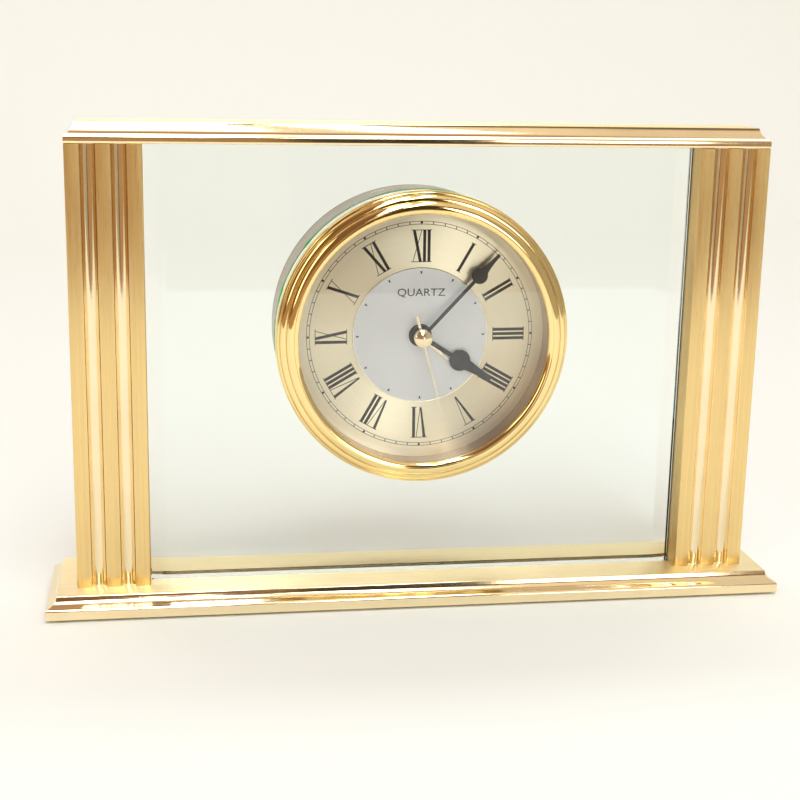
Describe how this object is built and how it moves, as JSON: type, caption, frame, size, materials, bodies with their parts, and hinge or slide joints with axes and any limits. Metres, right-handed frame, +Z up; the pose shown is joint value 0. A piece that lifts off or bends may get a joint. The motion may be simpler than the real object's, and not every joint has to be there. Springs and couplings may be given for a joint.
{
  "type": "mantel alarm clock",
  "caption": "Round battery alarm clock with a reeded bezel and roman dial, held in a clear glass panel between fluted pillars on a stepped base with a matching top rail.",
  "frame": {"origin": "on the underside of the felt pad, under the middle of the base", "axes": "+X to the viewer's right, the dial faces -Y, +Z up"},
  "size_m": [0.24, 0.0525, 0.1539],
  "materials": {
    "brushed_gold": "brushed gold-plated brass with polished mouldings",
    "polished_gold": "polished gold plate",
    "dial_gold": "circular brushed, lacquered",
    "dial_silver": "fine matt silver",
    "hand_black": "satin black paint",
    "hand_gold": "gold plated",
    "clear_glass": "clear float glass with a green edge tint, polished bevels",
    "clear_acrylic": "clear polished acrylic",
    "grey_case": "champagne grey lacquer",
    "soft_rubber": "translucent soft rubber",
    "felt": "dark felt",
    "steel": "zinc plated steel",
    "gear_brass": "cut brass",
    "white_nylon": "moulded nylon",
    "black_plastic": "fine moulded texture",
    "copper": "enamelled copper wire",
    "board": "green circuit board",
    "magnet": "sintered magnet",
    "cell_sleeve": "printed steel can"
  },
  "bodies": {
    "body": {"felt_pad": "felt", "base_plate": "brushed_gold", "top_rail": "brushed_gold", "left_pillar": "brushed_gold", "right_pillar": "brushed_gold", "left_tie_bolt": "steel", "right_tie_bolt": "steel", "glass_panel": "clear_glass", "glass_seat": "soft_rubber", "glass_cushion": "soft_rubber", "bezel": "polished_gold", "bezel_gasket": "soft_rubber", "grip_band": "soft_rubber", "crystal": "clear_acrylic", "reflector_ring": "polished_gold", "rear_case": "grey_case", "case_screw_1": "steel", "case_screw_2": "steel", "case_screw_3": "steel", "dial_plate": "dial_gold", "dial_centre": "dial_silver", "dial_carrier": "black_plastic", "movement_plate": "black_plastic", "movement_cover": "black_plastic", "battery_divider": "black_plastic", "stator": "steel", "coil": "copper", "circuit_board": "board", "buzzer": "black_plastic", "battery": "cell_sleeve", "contact_plus": "steel", "contact_minus": "steel"},
    "second_arbor": {"second_hand": "hand_gold", "centre_cap": "hand_gold", "second_wheel": "white_nylon"},
    "third_arbor": {"third_wheel": "white_nylon"},
    "centre_arbor": {"centre_wheel": "gear_brass"},
    "fifth_arbor": {"fifth_wheel": "white_nylon"},
    "rotor_arbor": {"rotor": "magnet"},
    "minute_arbor": {"minute_hand": "hand_black", "cannon_pinion": "gear_brass"},
    "hour_arbor": {"hour_hand": "hand_black", "hour_wheel": "white_nylon"},
    "setting_arbor": {"minute_wheel": "white_nylon", "time_set_knob": "black_plastic"},
    "alarm_arbor": {"alarm_hand": "hand_gold", "alarm_wheel": "gear_brass"},
    "alarm_setting_arbor": {"alarm_pinion": "white_nylon", "alarm_set_knob": "black_plastic"},
    "alarm_slider": {"alarm_switch": "black_plastic"},
    "battery_lid": {"battery_cover": "grey_case"}
  },
  "joints": [
    {"name": "second_spin", "type": "hinge", "parent": "body", "child": "second_arbor", "pos_m": [0, 0, 0.0863], "axis": [0, 1, 0], "continuous": true},
    {"name": "third_spin", "type": "hinge", "parent": "body", "child": "third_arbor", "pos_m": [0, 0, 0.09288], "axis": [0, 1, 0], "continuous": true},
    {"name": "centre_spin", "type": "hinge", "parent": "body", "child": "centre_arbor", "pos_m": [0, 0, 0.0863], "axis": [0, 1, 0], "continuous": true},
    {"name": "fifth_spin", "type": "hinge", "parent": "body", "child": "fifth_arbor", "pos_m": [0, 0, 0.0927], "axis": [0, 1, 0], "continuous": true},
    {"name": "rotor_spin", "type": "hinge", "parent": "body", "child": "rotor_arbor", "pos_m": [0.00275, 0, 0.09746], "axis": [0, 1, 0], "continuous": true},
    {"name": "minute_spin", "type": "hinge", "parent": "body", "child": "minute_arbor", "pos_m": [0, 0, 0.0863], "axis": [0, 1, 0], "continuous": true},
    {"name": "hour_spin", "type": "hinge", "parent": "body", "child": "hour_arbor", "pos_m": [0, 0, 0.0863], "axis": [0, 1, 0], "continuous": true},
    {"name": "setting_spin", "type": "hinge", "parent": "body", "child": "setting_arbor", "pos_m": [0.00686, 0, 0.0888], "axis": [0, 1, 0], "continuous": true},
    {"name": "alarm_spin", "type": "hinge", "parent": "body", "child": "alarm_arbor", "pos_m": [0, 0, 0.0863], "axis": [0, 1, 0], "continuous": true},
    {"name": "alarm_setting_spin", "type": "hinge", "parent": "body", "child": "alarm_setting_arbor", "pos_m": [-0.00716, 0, 0.0889], "axis": [0, 1, 0], "continuous": true},
    {"name": "alarm_switch_slide", "type": "slide", "parent": "body", "child": "alarm_slider", "axis": [1, 0, 0], "range_m": [-0.002, 0.002]},
    {"name": "battery_cover_lift", "type": "slide", "parent": "body", "child": "battery_lid", "axis": [0, 1, 0], "range_m": [0, 0.015]}
  ],
  "couplings": [
    {"joint": "third_spin", "follows": "second_spin", "ratio": -0.13333},
    {"joint": "centre_spin", "follows": "second_spin", "ratio": 0.016667},
    {"joint": "fifth_spin", "follows": "second_spin", "ratio": -6},
    {"joint": "rotor_spin", "follows": "second_spin", "ratio": 30},
    {"joint": "hour_spin", "follows": "minute_spin", "ratio": 0.083333},
    {"joint": "setting_spin", "follows": "minute_spin", "ratio": -0.33333},
    {"joint": "alarm_setting_spin", "follows": "alarm_spin", "ratio": -4}
  ]
}
